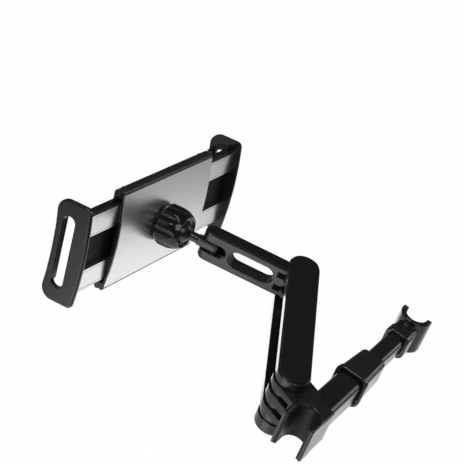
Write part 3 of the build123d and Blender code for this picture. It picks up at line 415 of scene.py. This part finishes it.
def ribbed_sheet(low, high, stations=420, rows=36):
    """Rings along x, sizes in mm, half as tall as Y(x) = b - r + sqrt(r^2 - (|x| - a + r)^2) in the corners
    of radius r. The front is z = T + g s m + w. The grooves are s = 4 sin^2(pi x / pitch) - 2, kept between
    0 and 1. The mask m fades them out at the border, and w = d (1 - e / v)^2 rounds the rim, where e is
    the distance to the edge."""
    centre = (low + high) / 2
    a, b = (high - low)[:2] / 2
    x = np.linspace(-a, a, stations)
    over = np.clip(np.abs(x) - a + pad_corner, 0, pad_corner)
    tall = b - pad_corner + np.sqrt(pad_corner**2 - over**2)
    y = tall[:, None] * np.linspace(-1, 1, rows)
    wave = np.clip(4 * np.sin(np.pi * x / rib_pitch) ** 2 - 2, 0, 1)
    inside_y = np.clip((b - plain_border - np.abs(y)) / rib_ramp, 0, 1)
    inside_x = np.clip((a - plain_border - np.abs(x)) / rib_ramp, 0, 1)
    edge = np.minimum(a - np.abs(x)[:, None], tall[:, None] - np.abs(y))
    rim = rim_drop * np.clip(1 - edge / rim_width, 0, 1) ** 2
    front = low[2] + rib_depth * wave[:, None] * (inside_y * inside_x[:, None]) + rim
    wide = np.broadcast_to(x[:, None], y.shape)
    top = np.stack([wide, y, front], axis=2)
    foot = np.stack([wide, y[:, ::-1], np.full(y.shape, high[2])], axis=2)
    loop = np.concatenate([top, foot], axis=1) + [centre[0], centre[1], 0]
    return loop.reshape(-1, 3), ring_faces(stations, 2 * rows)


sheet = in_cradle("back_pad")
points, faces = ribbed_sheet(sheet.min(axis=0), sheet.max(axis=0))
ribbed_pad = new_piece("back_pad_ribbed", from_cradle(points), faces, moulded_rubber, crease)
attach(ribbed_pad, "cradle")
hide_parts("back_pad")

# %% [markdown]
# ## Screw heads with a cross recess
# The back shell is held by four small pan-head screws. A cross recess is punched into the head when the
# screw is cold-formed. A polar grid suits it: the radius and the angle give a low dome, and the recess is
# taken off where a point lies inside one of the two arms of the cross. The back of the cradle looks along
# its negative z, so the dome falls and the recess sinks towards positive z.

# %% Cross-recess screws
pole = 0.02
dome_fall = 0.25
skirt = 1.4
arm_half, arm_slope = 0.55, 0.12
cross_reach, end_slope = 0.62, 0.2
cross_depth = 0.7


def cross_head(radius, top, rings=30, spokes=72):
    """Circles of points, sizes in mm: a dome z = top + f (r/R)^2, sunk by the depth where |x| or |y| is
    less than an arm's half width within the reach, then a skirt and a flat foot."""
    r = radius * np.concatenate([np.linspace(pole, 1, rings), [1.0, pole]])
    turn = np.linspace(0, 2 * np.pi, spokes, endpoint=False)
    x, y = r[:, None] * np.cos(turn), r[:, None] * np.sin(turn)
    in_arm = np.clip((arm_half - np.minimum(np.abs(x), np.abs(y))) / arm_slope + 0.5, 0, 1)
    cross = in_arm * np.clip((cross_reach * radius - np.hypot(x, y)) / end_slope + 0.5, 0, 1)
    z = top + (dome_fall * (r / radius)[:, None] ** 2 + cross_depth * cross)
    z[-2:] = top + skirt
    return np.stack([x, y, z], axis=2)


screws = in_cradle("shell_screws")
points, faces = [], []
for side_x, side_y in ((-1, -1), (-1, 1), (1, -1), (1, 1)):
    screw = screws[(screws[:, 0] * side_x > 0) & (screws[:, 1] * side_y > 0)]
    low, high = screw.min(axis=0), screw.max(axis=0)
    head = cross_head((high - low)[0] / 2, low[2])
    faces += ring_faces(*head.shape[:2], start=len(points) * head.shape[0] * head.shape[1])
    points.append(head.reshape(-1, 3) + [*(low + high)[:2] / 2, 0])
points = from_cradle(np.concatenate(points))
screw_heads = new_piece("shell_screw_heads", points, faces, plated_steel, crease)
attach(screw_heads, "cradle")
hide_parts("shell_screws")

# %% [markdown]
# ## Springs wound as coils
# A wire spring sits in the bar, and another pulls the two jaws together inside the cradle. Both are wound
# again here as a circle carried along a helix, and the solid springs are hidden. The jaws' spring is wound
# in two halves, from its middle out to each end.

# %% The bar's spring
bar_wire = 0.6 * MM
bar_turns = 8


def coil(start, end, radius, wire, turns, steps=40, sides=10):
    """A circle of radius w carried along P(t) = A + (B - A) t + R (e1 cos 2 pi n t + e2 sin 2 pi n t)."""
    start, end = np.array(start), np.array(end)
    axis = (end - start) / np.linalg.norm(end - start)
    first = np.cross(axis, [0.0, 0.0, 1.0])
    first /= np.linalg.norm(first)
    second = np.cross(axis, first)
    t = np.linspace(0, 1, int(steps * turns) + 1)
    angle = 2 * np.pi * turns * t
    radial = np.cos(angle)[:, None] * first + np.sin(angle)[:, None] * second
    path = start + t[:, None] * (end - start) + radius * radial
    slope = (end - start) + 2 * np.pi * turns * radius * np.cross(axis, radial)
    across_wire = np.cross(slope / np.linalg.norm(slope, axis=1)[:, None], radial)
    ring = np.linspace(0, 2 * np.pi, sides, endpoint=False)
    round_wire = np.cos(ring)[:, None] * radial[:, None] + np.sin(ring)[:, None] * across_wire[:, None]
    points = path[:, None] + wire * round_wire
    return points.reshape(-1, 3), ring_faces(len(t), sides)


def wound(name, start, end, radius, wire, turns, fixed, moving, replaced):
    """Winds a coil between two points in metres and hides the solid spring that it replaces.
    The two bodies that it joins, fixed and moving, are not used.
    """
    piece = new_piece(name, *coil(start, end, radius, wire, turns), plated_steel)
    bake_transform(piece)
    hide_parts(replaced)
    print(name, round(math.dist(start, end) / MM, 1), "mm long")


low, high = (np.array(corner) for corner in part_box("bar_spring"))
outer = (high - low)[1] / 2
ends = (low[0] + bar_wire, 0.0, 0.0), (high[0] - bar_wire, 0.0, 0.0)
sizes = outer - bar_wire, bar_wire, bar_turns
wound("bar_spring_coil", *ends, *sizes, "base", "sliding_end", "bar_spring")

# %% The jaws' spring, in two halves
jaw_wire = 0.25
half_turns = 10
pull = in_cradle("jaw_spring")
low, high = pull.min(axis=0), pull.max(axis=0)
outer = (high - low)[1] / 2
heart = np.array([0.0, *(low + high)[1:] / 2])
for side, reach in (("left", low[0] + jaw_wire), ("right", high[0] - jaw_wire)):
    tip = heart + [reach, 0.0, 0.0]
    ends = [from_cradle(point).tolist() for point in (heart, tip)]
    sizes = (outer - jaw_wire) * MM, jaw_wire * MM, half_turns
    wound("jaw_spring_coil_" + side, *ends, *sizes, "cradle", side + "_side", "jaw_spring")

# %% [markdown]
# ## A rounded lip in the fork
# The stem's tongue sits in a pocket at the end of the upper arm, closed at the back by a thin web. The
# web's front edge ends in a rounded lip, which hides the daylight beside the tongue. It is one rounded
# section carried straight up through the fork. The wrist's own joint says where it stands, and the line
# from the elbow to the wrist says which way it faces.

# %% Lip of the fork's web
lip_back, lip_front = -4.2, -2.4
lip_offset = -6.0
lip_half = 0.95
lip_height = 8.9

elbow, wrist = (np.array(joints[name]["pos_m"]) for name in ("elbow_hinge", "wrist_hinge"))
along = (wrist - elbow) / np.linalg.norm(wrist - elbow)
upright = np.array([0.0, 0.0, 1.0])
aside = np.cross(upright, along)


def lip(steps=24):
    """Two rings, sizes in mm from the wrist: a half circle s = f - h + h cos a, t = c + h sin a with a
    straight tail back to the web, at the foot and at the top of the fork."""
    a = np.linspace(-np.pi / 2, np.pi / 2, steps)
    tail = [lip_back]
    low_side, high_side = [lip_offset - lip_half], [lip_offset + lip_half]
    s = np.concatenate([tail, lip_front - lip_half + lip_half * np.cos(a), tail])
    t = np.concatenate([low_side, lip_offset + lip_half * np.sin(a), high_side])
    section = s[:, None] * along + t[:, None] * aside
    rise = np.repeat([-lip_height / 2, lip_height / 2], len(s))
    points = np.tile(section, (2, 1)) + rise[:, None] * upright
    return wrist + MM * points, ring_faces(2, len(s))


web_lip = new_piece("fork_web_lip", *lip(), satin_abs, crease)
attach(web_lip, "upper_arm")

# %% [markdown]
# ## A white room with a dark ceiling
# A black object on white is drawn by what it mirrors. The world looks white to the camera by Light Path,
# so no lamp has to be turned up for it. Mirrored rays see something else: a dim ceiling that keeps the
# upward faces black, and a little more light near the horizon. Matte faces get an even, soft grey.

# %% World
horizon_strength, ceiling_strength = 0.16, 0.09
horizon_height, ceiling_height = -0.1, 0.35
room_strength = 0.45


def ray_kinds(tree):
    """Two outputs: 1 for rays from the camera, and 1 for rays that a surface mirrors or lets through."""
    rays = add(tree, "ShaderNodeLightPath").outputs
    glossy, clear = rays["Is Glossy Ray"], rays["Is Transmission Ray"]
    mirrored = add(tree, "ShaderNodeMath", {"operation": "MAXIMUM"}, i0=glossy, i1=clear)
    return rays["Is Camera Ray"], mirrored.outputs[0]


world = bpy.data.worlds.new("studio")
bpy.context.scene.world = world
world.use_nodes = True
tree = world.node_tree
tree.nodes.clear()
seen, mirrored = ray_kinds(tree)
direction = add(tree, "ShaderNodeTexCoord").outputs["Generated"]
height = add(tree, "ShaderNodeSeparateXYZ", Vector=direction).outputs["Z"]
ceiling = add(
    tree,
    "ShaderNodeMapRange",
    {"interpolation_type": "SMOOTHSTEP"},
    Value=height,
    From_Min=horizon_height,
    From_Max=ceiling_height,
    To_Min=horizon_strength,
    To_Max=ceiling_strength,
).outputs[0]
number = {"data_type": "FLOAT"}
unseen = add(tree, "ShaderNodeMix", number, Factor=mirrored, i2=room_strength, i3=ceiling).outputs[0]
strength = add(tree, "ShaderNodeMix", number, Factor=seen, i2=unseen, i3=1.0).outputs[0]
sky = add(tree, "ShaderNodeBackground", Color=(1, 1, 1, 1), Strength=strength)
tree.links.new(sky.outputs[0], add(tree, "ShaderNodeOutputWorld").inputs["Surface"])
print("world of", len(tree.nodes), "nodes")

# %% [markdown]
# ## White paper
# The mount hangs in the air when it is used, so the paper lies well below it and takes only a faint
# shadow. To the camera the paper is white. In mirrored rays it glows under the mount and fades with
# distance, like paper under one lamp, which gives the tilted plate its slope from light to dark and the
# lower edges of the arm their bright lines.

# %% Paper floor
paper_drop = 0.42
paper_half = 4.0
pool_near, pool_far = 0.35, 1.45
pool_bright, pool_dim = 1.0, 0.08
paper_share = 0.985

level = cad_box[0][2] - paper_drop
corners = paper_half * np.array([(-1, -1), (1, -1), (1, 1), (-1, 1)])
paper_mesh = bpy.data.meshes.new("paper")
paper_mesh.from_pydata(np.column_stack([corners, np.full(4, level)]).tolist(), [], [(0, 1, 2, 3)])
paper = bpy.data.objects.new("paper", paper_mesh)
bpy.context.collection.objects.link(paper)
print("paper at z =", round(level / MM, 1), "mm")

# %% Paper's material
material, tree, output, place = new_material("white paper")
seen, mirrored = ray_kinds(tree)
matte = add(tree, "ShaderNodeBsdfDiffuse", Color=linear("#f4f4f4"))
reach = add(tree, "ShaderNodeVectorMath", {"operation": "DISTANCE"}, i0=place, i1=(0.0, 0.0, level))
pool = add(
    tree,
    "ShaderNodeMapRange",
    {"interpolation_type": "SMOOTHSTEP"},
    Value=reach.outputs["Value"],
    From_Min=pool_near,
    From_Max=pool_far,
    To_Min=pool_bright,
    To_Max=pool_dim,
).outputs[0]
glow = add(tree, "ShaderNodeMix", number, Factor=seen, i2=pool, i3=1.0)
white = add(tree, "ShaderNodeEmission", Color=(1, 1, 1, 1), Strength=glow.outputs[0])
shown = add(tree, "ShaderNodeMath", {"operation": "MAXIMUM"}, i0=mirrored, i1=seen).outputs[0]
share = add(tree, "ShaderNodeMath", {"operation": "MULTIPLY"}, i0=shown, i1=paper_share).outputs[0]
mix = add(tree, "ShaderNodeMixShader", i0=share, i1=matte.outputs[0], i2=white.outputs[0])
tree.links.new(mix.outputs[0], output.inputs["Surface"])
paper_mesh.materials.append(material)
print("white paper of", len(tree.nodes), "nodes")

# %% [markdown]
# ## Softboxes above and light panels below
# Three square lamps stand high: a key above the camera's left, a wide fill above its right, and a weak one
# beside the mount on the right. Three weak panels stand low, as reflectors do in a studio, and draw the
# bright lines on the lower edges of the tubes, the arm and the saddles. The camera sees only their light.

# %% Lamps
middle = [(low + high) / 2 for low, high in zip(*cad_box)]


def softbox(name, place, size, power):
    """A square area lamp that faces the middle of the mount: place and size in metres, power in watts."""
    lamp = bpy.data.lights.new(name, "AREA")
    lamp.size = size
    lamp.energy = power
    box = bpy.data.objects.new(name, lamp)
    box.location = place
    box.rotation_euler = (Vector(middle) - Vector(place)).to_track_quat("-Z", "Y").to_euler()
    box.visible_camera = False
    bpy.context.collection.objects.link(box)


softbox("key", place=(-0.62, 0.42, 0.95), size=0.5, power=8)
softbox("fill", place=(-0.75, -0.75, 1.05), size=0.9, power=6)
softbox("side", place=(0.85, -0.55, 0.32), size=0.5, power=1.6)
softbox("low right", place=(0.42, -0.14, -0.21), size=0.3, power=0.14)
softbox("low left", place=(-0.52, 0.14, -0.34), size=0.5, power=1.2)
softbox("low far", place=(0.34, 0.30, -0.22), size=0.2, power=0.25)
print(len(bpy.data.lights), "lamps")

# %% [markdown]
# ## The camera
# The picture that the mount is matched to was taken with a long lens, from above. The camera was fitted
# to that picture, and is written here as a place and two directions, right and up. The third direction
# is square to both.

# %% Camera
camera_place = (-0.684001, -0.172913, 0.590013)
right = Vector((0.5258, -0.79103, 0.31274))
up = Vector((0.35694, 0.53891, 0.763))

camera = bpy.data.objects.new("camera", bpy.data.cameras.new("camera"))
bpy.context.collection.objects.link(camera)
bpy.context.scene.camera = camera
turn = Matrix((right, up, right.cross(up))).transposed().to_4x4()
camera.matrix_world = Matrix.Translation(camera_place) @ turn
camera.data.sensor_width = 36.0
camera.data.lens = 124.138
camera.data.clip_start = 0.01
bpy.context.scene.view_settings.view_transform = "Standard"
print("camera with a lens of", round(camera.data.lens, 1), "mm")
